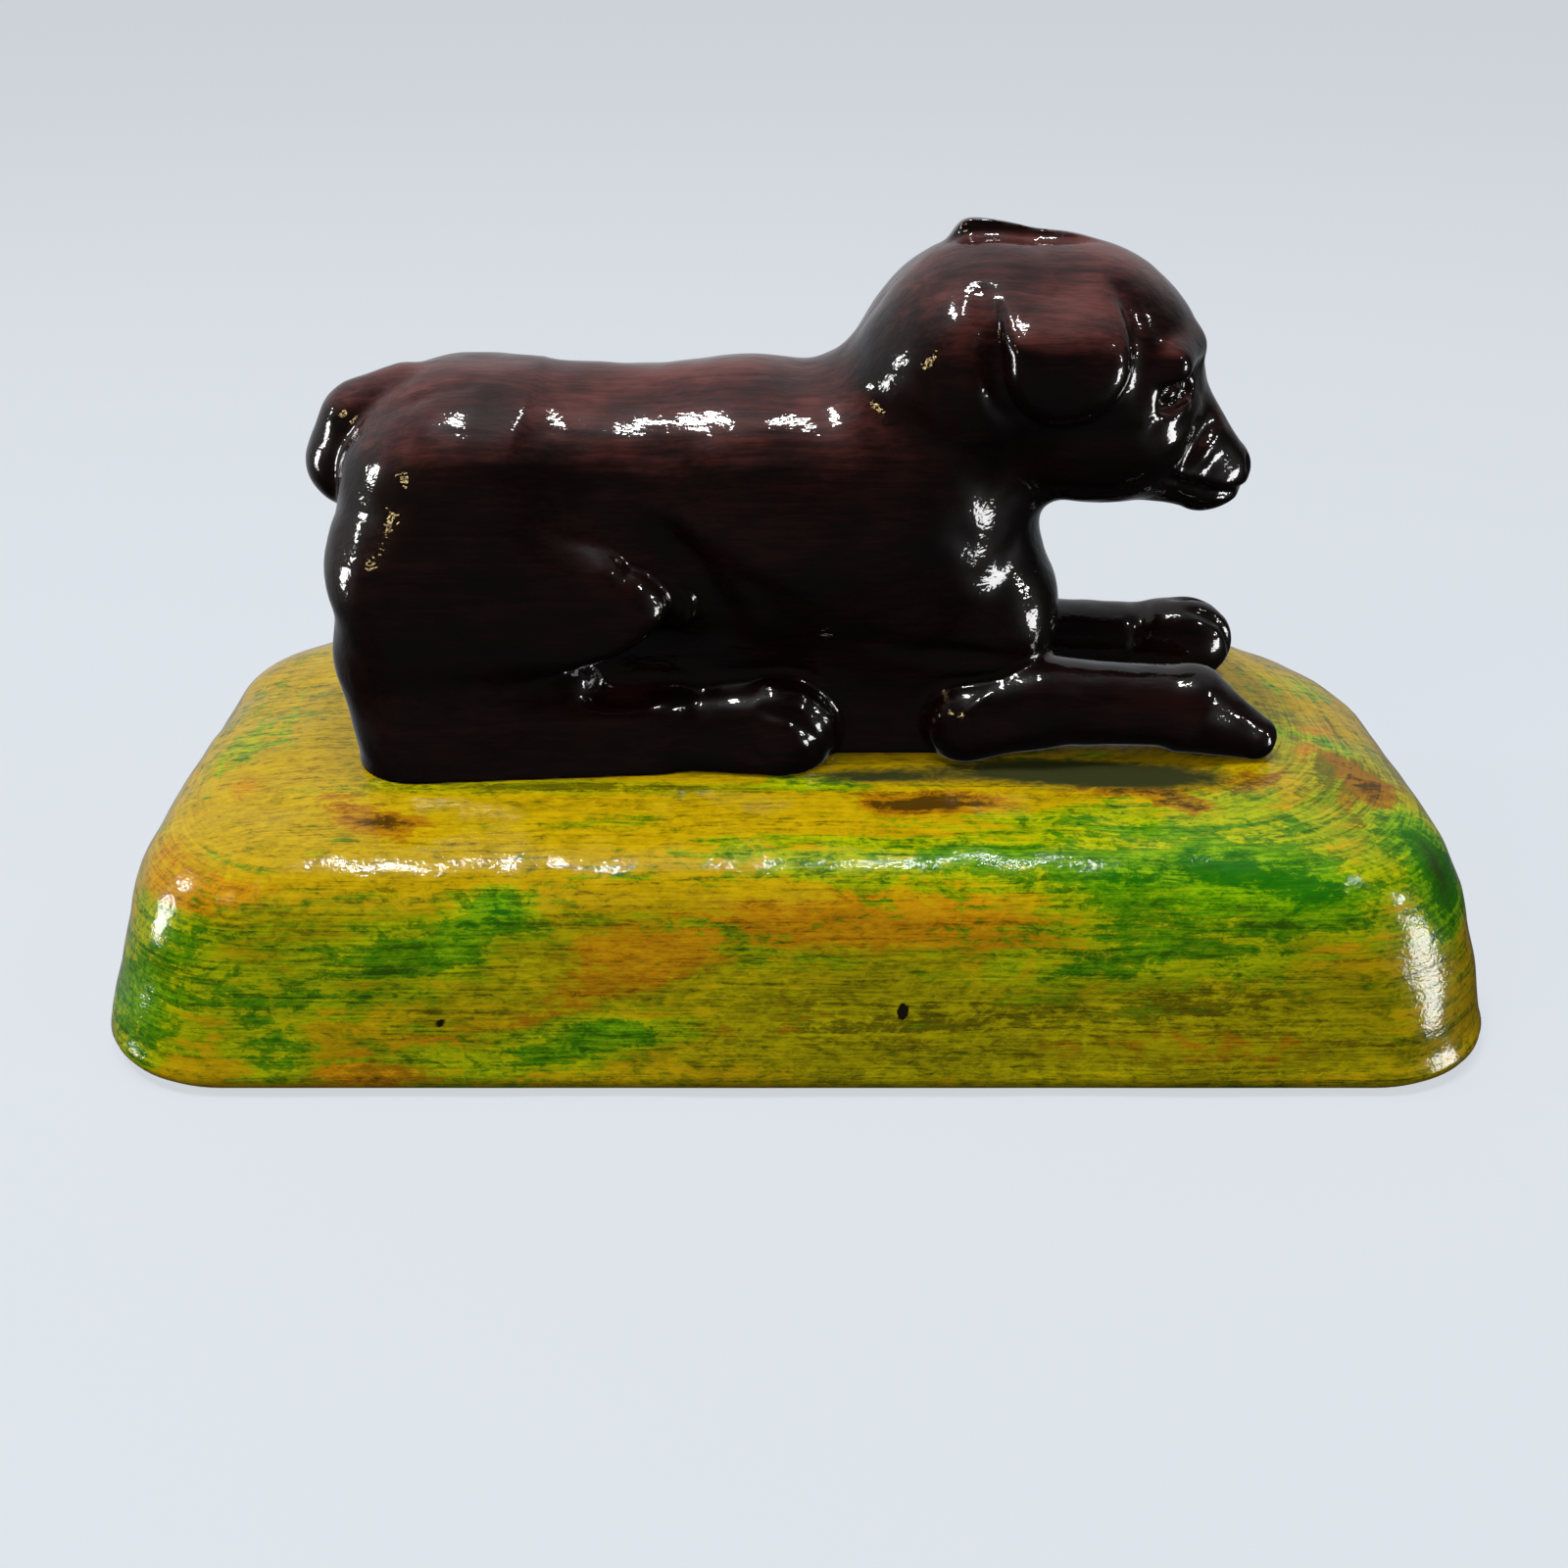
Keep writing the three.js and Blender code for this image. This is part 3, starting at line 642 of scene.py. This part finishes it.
def lacquered_wood():
    """Nearly black maroon stain, with red-brown light painted where the carving faces up, under gloss
    lacquer with a fine pimpled skin and a faint soft sheen round each highlight."""
    m = Board("dog_lacquer")
    grain = m.noise(m.scaled((0.06, 0.9, 0.9)), detail=5, roughness=0.6, distortion=0.5)
    fibre = m.noise(m.scaled((0.22, 3.6, 3.6)), detail=3)
    cloud = m.noise(m.scaled((0.06, 0.08, 0.08)), detail=4, roughness=0.6)
    tone = (grain * 0.35 + fibre * 0.20 + cloud * 0.55).step(0.40, 0.70)
    dark = m.ramp(tone, (0.0022, 0.0009, 0.0009), (0.0050, 0.0015, 0.0014), (0.0110, 0.0028, 0.0024))
    # Painted light: a red-brown tone where the carving faces up, as light from above would make it.
    painted_top_light = m.ramp(tone, (0.026, 0.0070, 0.0062), (0.065, 0.0165, 0.0140), (0.120, 0.0320, 0.0260))
    top_light_share = (m.number("light_from_above") + (cloud - 0.5) * 0.6 + (grain - 0.5) * 0.3).step(0.36, 1.05)
    colour = m.blend(top_light_share, dark, painted_top_light)
    peel = m.noise(m.scaled((0.30, 0.5, 0.5)), detail=1.0, roughness=0.4)
    specks = m.noise(m.scaled((0.75, 1.5, 1.5)), detail=1.6, roughness=0.55)
    normal = m.bump(peel * 0.5 + specks * 0.55, 0.20, 0.45)
    sheen = {"Coat_Weight": 0.13, "Coat_Roughness": 0.36, "Coat_IOR": 1.5}
    return m.finish(colour, 0.03 + 0.04 * fibre, normal, Specular_IOR_Level=0.48, IOR=1.5, **sheen)


def painted_wood():
    """Yellow ochre washed over with olive, green, orange and brown stains that pool at their edges.
    Dark brush marks follow the rings of the base round its corners, but run straight over the left
    end of the seat. Dark olive and grey also paint shadows on the seat along the puppy's near side.
    The varnish is lumpy, with a faint soft sheen."""
    m = Board("base_paint")
    x, y, ring = m.dot((1.0, 0.0, 0.0)), m.dot((0.0, 1.0, 0.0)), m.number("ring")
    around = m.noise(m.joined(x * 0.030, y * 0.030, ring * 0.75), detail=6, roughness=0.68, distortion=0.5)
    around_hair = m.noise(m.joined(x * 0.1, y * 0.1, ring * 2.4), detail=4, roughness=0.65, distortion=0.2)
    along = m.noise(m.scaled((0.030, 0.75, 0.30), shift=(3, 5, 2)), detail=6, roughness=0.68, distortion=0.5)
    along_hair = m.noise(m.scaled((0.1, 2.4, 0.6), shift=(1, 4, 6)), detail=4, roughness=0.65, distortion=0.2)
    turned = 1 - (1 - x.step(-70, -40)) * m.dot((0.0, 0.0, 1.0)).step(32, 36)
    line = along + (around - along) * turned
    hair = along_hair + (around_hair - along_hair) * turned
    sweep = m.noise(m.joined(x * 0.045, y * 0.045, ring * 0.30), detail=6, roughness=0.62, distortion=0.9)
    wash = m.noise(m.scaled((0.045, 0.06, 0.07), shift=(7, 3, 1)), detail=5, roughness=0.6, distortion=1.0)
    blot = m.noise(m.scaled((0.11, 0.17, 0.18), shift=(2, 9, 4)), detail=7, roughness=0.72, distortion=1.5)
    mottle = m.noise(m.scaled((0.45, 0.95, 0.95), shift=(5, 1, 8)), detail=7, roughness=0.75, distortion=0.6)
    edge = (line - 0.5) * 1.0 + (blot - 0.5) * 1.7 + (mottle - 0.5) * 1.1
    depth = (blot * 0.30 + mottle * 0.50 + line * 0.20 + (hair - 0.5) * 0.35).step(0.36, 0.64)
    ochre = m.ramp(depth, (0.55, 0.37, 0.002), (0.43, 0.285, 0.001), (0.25, 0.17, 0.001))
    amber = m.ramp(depth, (0.64, 0.33, 0.003), (0.52, 0.23, 0.002), (0.34, 0.14, 0.001))
    olives = m.ramp(depth, (0.46, 0.42, 0.001), (0.30, 0.28, 0.001), (0.090, 0.095, 0.001), middle=0.45)
    limes = m.ramp(depth, (0.46, 0.52, 0.001), (0.27, 0.36, 0.001), (0.080, 0.16, 0.001), middle=0.45)
    grass = m.ramp(depth, (0.24, 0.44, 0.002), (0.090, 0.26, 0.001), (0.014, 0.115, 0.001), middle=0.45)
    deep = m.number("olive") + edge * 0.9 + (sweep - 0.5) * 1.6
    olive = deep.step(0.30, 0.66)
    green = m.number("green") + edge * 0.8 + (sweep - 0.5) * 1.3
    orange = (m.number("orange") + edge * 0.9 + (wash - 0.5) * 0.8).step(0.42, 0.70)
    brown = m.number("brown") + edge * 0.9
    colour = m.blend(olive * 0.9, ochre, olives)
    # Dark olive: the darkest olive stains, and also a painted contact shadow along the near hind foot.
    colour = m.blend(deep.step(1.05, 1.40) * 0.75, colour, (0.085, 0.075, 0.001))
    colour = m.blend(orange * 0.9, colour, amber)
    colour = m.blend(green.step(0.26, 0.36) * 0.9, colour, limes)
    colour = m.blend(green.step(0.60, 0.74) * 0.95, colour, grass)
    rim = green.step(0.58, 0.62) * (1 - green.step(0.63, 0.72))
    colour = m.blend((green.step(1.0, 1.3) + rim * 0.6).clamp() * 0.85, colour, (0.006, 0.125, 0.002))
    colour = m.blend(brown.step(0.40, 0.62) * 0.75, colour, (0.36, 0.125, 0.002))
    colour = m.blend(brown.step(0.62, 1.0) * 0.92, colour, (0.050, 0.022, 0.002))
    # Grey: painted shadow on the seat under the near foreleg and by the belly, and a grey stain on the right
    # end.
    colour = m.blend((m.number("grey") + edge * 0.35).step(0.2, 0.8), colour, (0.035, 0.040, 0.012))
    dark = (hair * 0.45 + line * 0.55 + (mottle - 0.5) * 0.6).step(0.55, 0.66)
    colour = m.blend(dark * 0.55, colour, (0.050, 0.056, 0.001))
    knots = m.number("knots").step(0.45, 0.6)
    colour = m.blend(knots, colour, (0.010, 0.006, 0.002))
    lumps = m.noise(m.scaled((0.7, 1.1, 1.1)), detail=2, roughness=0.6)
    normal = m.bump(hair * 0.10 + line * 0.14 + lumps * 0.60, 0.22, 0.7)
    sheen = {"Coat_Weight": 0.10, "Coat_Roughness": 0.30, "Coat_IOR": 1.5}
    return m.finish(colour, 0.03 + 0.05 * mottle, normal, Specular_IOR_Level=0.26, IOR=1.48, **sheen)


# Stains on the base, with some painted shadows on the seat beside the puppy: middle, half length
# and half width in millimetres, the way that its length runs, and strength.
OLIVE_STAINS_AND_SHADOW = [
    ((-20, -50, 9), 95, 14, (1, 0, 0), 0.60),
    ((60, -50, 11), 55, 14, (1, 0, 0), 0.66),
    ((-60, -45, 24), 34, 8, (1, 0, 0), 0.85),
    ((0, -46, 22), 60, 6, (1, 0, 0), 0.35),
    ((75, -32, 36), 28, 12, (1, 0.4, 0), 0.55),
    ((84, -22, 35), 20, 6.5, (0.35, -1, -0.1), 1.60),
    ((90, -36, 30), 11, 6, (0.3, -0.6, -1), 1.15),
    ((56, -48, 17), 16, 5, (1, 0, -0.2), 0.60),
    # Painted contact shadow: a thin dark olive line on the seat along the near hind foot.
    ((-30, -24.4, 37.2), 42, 1.8, (1, 0, 0), 1.30),
    ((18, -49, 13), 22, 4, (1, 0, 0.1), 0.55),
    ((-50, -24, 37), 26, 5, (1, 0.1, 0), 0.15),
    ((-30, -34, 36), 20, 3, (1, 0, 0), 0.35),
    ((100, 0, 22), 14, 44, (0.2, 0, 1), 0.55),
    ((-100, 10, 22), 14, 44, (0.2, 0, 1), 0.45),
    ((-84, 2, 36), 12, 22, (0, 1, 0), 0.35),
    ((0, 50, 16), 110, 16, (1, 0, 0), 0.55),
]
GREEN_STAINS = [
    ((52, -44, 26), 34, 12, (1, 0, 0), 0.34),
    ((66, -32, 36), 16, 16, (1, 0.4, 0), 0.34),
    ((36, -33, 37), 28, 5, (1, 0.02, 0), 0.42),
    ((24, -40, 33), 34, 3.2, (1, 0, 0.02), 0.52),
    ((44, -42, 31), 9, 4.5, (1, 0, -0.3), 0.42),
    ((62, -41, 32), 15, 5.5, (1, 0, -0.15), 0.72),
    ((74, -42, 29), 9, 4, (0.8, 0.2, -0.5), 0.55),
    ((45, -46, 22), 22, 5, (1, 0, 0.1), 0.45),
    ((48, -33, 37), 12, 3, (1, 0, 0), 0.42),
    ((2, -38, 35), 24, 2.6, (1, 0, 0), 0.42),
    ((-58, -46, 20), 17, 6, (1, 0, 0.35), 0.62),
    ((-45, -45, 27), 9, 3.4, (0.7, 0, 0.8), 0.70),
    ((-41, -44, 29), 7, 2.6, (0.7, 0, -0.7), 0.55),
    ((-60, -45, 25), 20, 5, (1, 0, 0), 0.30),
    ((-29, -49, 9.5), 12, 4.2, (1, 0, 0.25), 0.85),
    ((-50, -49.5, 6), 20, 3.4, (1, 0, 0.05), 0.55),
    ((-75, -48.5, 9), 7, 7, (0.4, 0, 1), 0.65),
    ((-10, -46, 24), 12, 3.4, (1, 0, -0.2), 0.50),
    ((-94, -43, 13), 8, 12, (0.3, 0, 1), 0.70),
    ((-86, -45, 22), 5, 13, (0.35, 0, 1), 0.60),
    ((-97, -34, 8), 12, 8, (0.5, -1, 0), 0.6),
    ((-86, -8, 35), 16, 6, (0.4, 1, 0), 0.40),
    ((91, -33, 31), 12, 6, (0.3, -0.7, -1), 1.60),
    ((96, -30, 26), 10, 5, (0.4, 1, -0.3), 0.7),
    ((80, -8, 37), 12, 2.6, (1, -0.5, -0.1), 0.7),
    ((84, 12, 35), 12, 5, (1, 0.2, 0), 0.5),
    ((15, 46, 22), 30, 8, (1, 0, 0.2), 0.7),
    ((-55, 44, 26), 22, 8, (1, 0, -0.3), 0.6),
    ((2, -23, 37), 8, 2.6, (1, 0, 0), 0.75),
]
ORANGE_STAINS = [
    ((-14, -45.5, 25), 24, 4.5, (1, 0, 0.05), 0.8),
    ((20, -45, 27), 20, 5, (1, 0, -0.08), 1.05),
    ((-26, -47, 19), 13, 5, (1, 0, 0.4), 0.8),
    ((-60, -49.5, 5.5), 17, 4, (1, 0, 0.3), 0.95),
    ((-8, -49, 12), 20, 5, (1, 0, 0.1), 0.5),
    ((-84, -22, 35), 12, 7, (0.6, 1, 0), 0.5),
    ((80, -10, 37), 12, 5, (0.5, 1, -0.2), 0.75),
    ((94, -38, 20), 5, 10, (0.2, 0.2, -1), 0.45),
    ((73, -46, 25), 9, 3.5, (1, 0, -0.1), 0.85),
    ((98, 10, 25), 8, 20, (0.2, 1, 0), 0.6),
    ((0, -27, 37), 24, 4, (1, 0, 0), 0.35),
    ((-92, -36, 29), 6, 10, (0.3, -0.5, -1), 0.6),
    ((-80, -42, 30), 9, 3, (1, 0, 0.1), 0.7),
    ((60, -49.5, 8), 34, 4.5, (1, 0, 0), 0.55),
    ((40, 42, 28), 24, 7, (1, 0, 0), 0.6),
]
BROWN_STAINS = [
    ((-66, -28, 36.6), 13, 3.6, (1, -0.62, 0), 0.58),
    ((-57, -32.5, 36), 10, 3.4, (1, -0.05, 0), 0.58),
    ((-74, -15, 37), 4, 9, (0.1, 1, 0), 0.45),
    ((20, -28, 37), 12, 2.8, (1, 0.03, 0), 1.25),
    ((47, -25, 37), 8, 1.6, (1, 0.03, 0), 0.70),
    ((56, -28, 37), 6, 2.6, (1, -0.3, 0), 1.00),
    ((67, -22, 37), 6, 3, (1, 0.3, 0), 0.8),
    ((86, -23, 34), 4.5, 12, (0.5, -0.9, -0.2), 0.50),
    ((-60, -49.8, 4), 12, 2.6, (1, 0, 0), 0.7),
    ((-97, -24, 24), 6, 9, (0.3, 1, 0.4), 0.6),
    ((83, -16, 36), 15, 3.6, (0.5, -0.9, -0.2), 0.62),
    ((-20, 44, 26), 18, 5, (1, 0, 0.1), 0.6),
]
GREY_STAINS_AND_SHADOWS = [
    # The first two are painted shadows on the seat, under the near foreleg and by the belly.
    ((44, -20.5, 37.2), 22, 4.4, (1, -0.08, 0), 1.3),
    ((10, -21.5, 37.2), 14, 2.6, (1, 0, 0), 0.8),
    ((92, -34, 30), 9, 3.6, (0.3, -0.6, -1), 0.55),
]
KNOTS = [
    ((15, -48.4, 14), 0.9, 1.5, (1, 0, 0), 1.6),
    ((-51, -48.4, 12), 1.8, 1.0, (1, 0, 0.4), 1.0),
]
STAINS_AND_SHADOWS = {
    "olive": OLIVE_STAINS_AND_SHADOW, "green": GREEN_STAINS, "orange": ORANGE_STAINS,
    "brown": BROWN_STAINS, "grey": GREY_STAINS_AND_SHADOWS, "knots": KNOTS,
}


def patch_strength(points, patches):
    """Sum of soft ovals: a bell over the distances along and across the way that each stain runs."""
    total = np.zeros(len(points))
    for middle, half_length, half_width, way, strength in patches:
        way = np.array(way) / np.linalg.norm(way)
        gone = points - middle
        along = gone @ way
        across = (gone**2).sum(1) - along**2
        total += strength * np.exp(-((along / half_length) ** 2) - across / half_width**2)
    return total


# Camera, light and floor, in metres


def set_camera():
    """A square pinhole view from the front, thirty degrees down."""
    data = bpy.data.cameras.new("camera")
    data.sensor_width, data.lens = 36, 36
    camera = bpy.data.objects.new("camera", data)
    camera.location = (-0.002, -0.22421, 0.15305)
    camera.rotation_euler = (math.radians(60), 0, 0)
    bpy.context.scene.collection.objects.link(camera)
    bpy.context.scene.camera = camera


def add_light(name, place, target, size, power, mirrored_in_gloss=True, lights_matt=True):
    """A soft rectangular lamp at one place, facing another, in metres and watts. It can be left out
    of reflections, or be seen in them alone."""
    data = bpy.data.lights.new(name, "AREA")
    data.shape, data.size, data.size_y = "RECTANGLE", size[0], size[1]
    data.energy = power
    lamp = bpy.data.objects.new(name, data)
    lamp.location = place
    lamp.rotation_euler = (Vector(target) - Vector(place)).to_track_quat("-Z", "Y").to_euler()
    lamp.visible_glossy = mirrored_in_gloss
    lamp.visible_diffuse = lights_matt
    bpy.context.scene.collection.objects.link(lamp)


def set_sky():
    """Even pale grey to the eye. As light it is bright behind and above, falling to dark in front
    and below, with a dim patch low in front."""
    sky = bpy.data.worlds.new("studio")
    sky.use_nodes = True
    tree = sky.node_tree
    add, link = tree.nodes.new, tree.links.new
    way = add("ShaderNodeTexCoord").outputs["Generated"]

    def glow(towards, low, high, dimmest, brightest):
        """Brightness that grows smoothly while the dot product with a direction runs from low to high."""
        lean = add("ShaderNodeVectorMath")
        lean.operation = "DOT_PRODUCT"
        lean.inputs[1].default_value = towards
        link(way, lean.inputs[0])
        grow = add("ShaderNodeMapRange")
        grow.interpolation_type = "SMOOTHSTEP"
        limits = {"From Min": low, "From Max": high, "To Min": dimmest, "To Max": brightest}
        for key, value in limits.items():
            grow.inputs[key].default_value = value
        link(lean.outputs["Value"], grow.inputs["Value"])
        return grow.outputs["Result"]

    both = add("ShaderNodeMath")
    link(glow((-0.20, 0.68, 0.42), 0.0, 0.75, 0.012, 0.50), both.inputs[0])
    link(glow((-0.15, -0.93, -0.25), 0.45, 1.0, 0.0, 0.045), both.inputs[1])
    light = tree.nodes["Background"]
    light.inputs["Color"].default_value = (0.92, 0.96, 1.0, 1)
    link(both.outputs[0], light.inputs["Strength"])
    plain = add("ShaderNodeBackground")
    plain.inputs["Color"].default_value = (0.64, 0.68, 0.73, 1)
    mix = add("ShaderNodeMixShader")
    link(add("ShaderNodeLightPath").outputs["Is Camera Ray"], mix.inputs[0])
    link(light.outputs[0], mix.inputs[1])
    link(plain.outputs[0], mix.inputs[2])
    link(mix.outputs[0], tree.nodes["World Output"].inputs["Surface"])
    bpy.context.scene.world = sky
    bpy.context.scene.view_settings.view_transform = "Standard"


def set_ring_lamp():
    """A small warm ring of light to the left of the viewer, seen only as a reflection."""
    inner, outer, n = 0.046, 0.057, 48
    around = np.linspace(0, 2 * math.pi, n, endpoint=False)
    rings = [[(r * math.cos(a), r * math.sin(a), 0) for a in around] for r in (inner, outer)]
    faces = [(i, (i + 1) % n, n + (i + 1) % n, n + i) for i in range(n)]
    mesh = bpy.data.meshes.new("ring_lamp")
    mesh.from_pydata(rings[0] + rings[1], [], faces)
    ring = bpy.data.objects.new("ring_lamp", mesh)
    ring.location = (-0.53, -0.40, 0.42)
    ring.rotation_euler = (Vector((0, 0, 0.07)) - ring.location).to_track_quat("-Z", "Y").to_euler()
    ring.visible_camera = False
    bpy.context.scene.collection.objects.link(ring)
    glow = bpy.data.materials.new("warm_glow")
    glow.use_nodes = True
    shader = glow.node_tree.nodes["Principled BSDF"]
    shader.inputs["Emission Color"].default_value = (1.0, 0.74, 0.34, 1)
    shader.inputs["Emission Strength"].default_value = 36
    mesh.materials.append(glow)


def set_floor():
    """A wide pale floor, evenly bright, which takes the sculpture's shadow. It blocks no light, so
    that the two low lamps can stand partly below it."""
    half, drop = 3.0, 0.0002
    corners = [(-half, -half, 0), (half, -half, 0), (half, half, 0), (-half, half, 0)]
    mesh = bpy.data.meshes.new("floor")
    mesh.from_pydata(corners, [], [(0, 1, 2, 3)])
    floor = bpy.data.objects.new("floor", mesh)
    floor.location.z = -drop
    floor.visible_glossy = False
    floor.visible_diffuse = False
    floor.visible_shadow = False
    bpy.context.scene.collection.objects.link(floor)
    pale = bpy.data.materials.new("floor_white")
    pale.use_nodes = True
    shader = pale.node_tree.nodes["Principled BSDF"]
    shader.inputs["Base Color"].default_value = (0.13, 0.14, 0.16, 1)
    shader.inputs["Roughness"].default_value = 0.8
    shader.inputs["Specular IOR Level"].default_value = 0.0
    shader.inputs["Emission Color"].default_value = (0.90, 0.95, 1.0, 1)
    shader.inputs["Emission Strength"].default_value = 0.64
    mesh.materials.append(pale)


points, quads, light_from_above = carve_puppy()
dog = make_piece("puppy", points, quads)
# How far the puppy faces up, stored for the painted light from above in its lacquer.
give_numbers(dog, "light_from_above", light_from_above)
dog.data.materials.append(lacquered_wood())
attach(dog, "root")
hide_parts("dog")

points, quads, triangles, inward = shape_base()
base = make_piece("painted_base", points, quads, triangles)
give_numbers(base, "ring", inward)
# Stain strengths, with the painted shadows among them, stored on the base's points for its paint.
for stain, places in STAINS_AND_SHADOWS.items():
    give_numbers(base, stain, patch_strength(points, places))
base.data.materials.append(painted_wood())
base.visible_glossy = False  # the puppy's lacquer stays dark where it would mirror the paint
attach(base, "root")
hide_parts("base")

set_sky()
add_light("overhead", (-0.27, -0.14, 1.05), (0, 0, 0.05), (0.26, 0.065), 5.8)
add_light("overhead_right", (0.11, -0.10, 1.02), (0, 0, 0.05), (0.20, 0.04), 2.4)
add_light("left", (-0.85, -0.05, 0.38), (0, 0, 0.06), (0.07, 0.12), 1.2)
add_light("low_left", (-0.88, -0.08, 0.03), (0, 0, 0.03), (0.14, 0.24), 2.2, lights_matt=False)
add_light("low_right", (0.84, -0.29, -0.04), (0, 0, 0.03), (0.24, 0.26), 3.6, lights_matt=False)
add_light("right", (0.88, -0.25, 0.33), (0, 0, 0.06), (0.05, 0.07), 0.9)
add_light("upper_right", (0.62, -0.30, 0.68), (0, 0, 0.06), (0.07, 0.05), 0.6)
add_light("front_fill", (-0.55, -1.15, 0.70), (0, 0, 0.03), (1.1, 0.8), 7.0, mirrored_in_gloss=False)
set_ring_lamp()
set_floor()
set_camera()
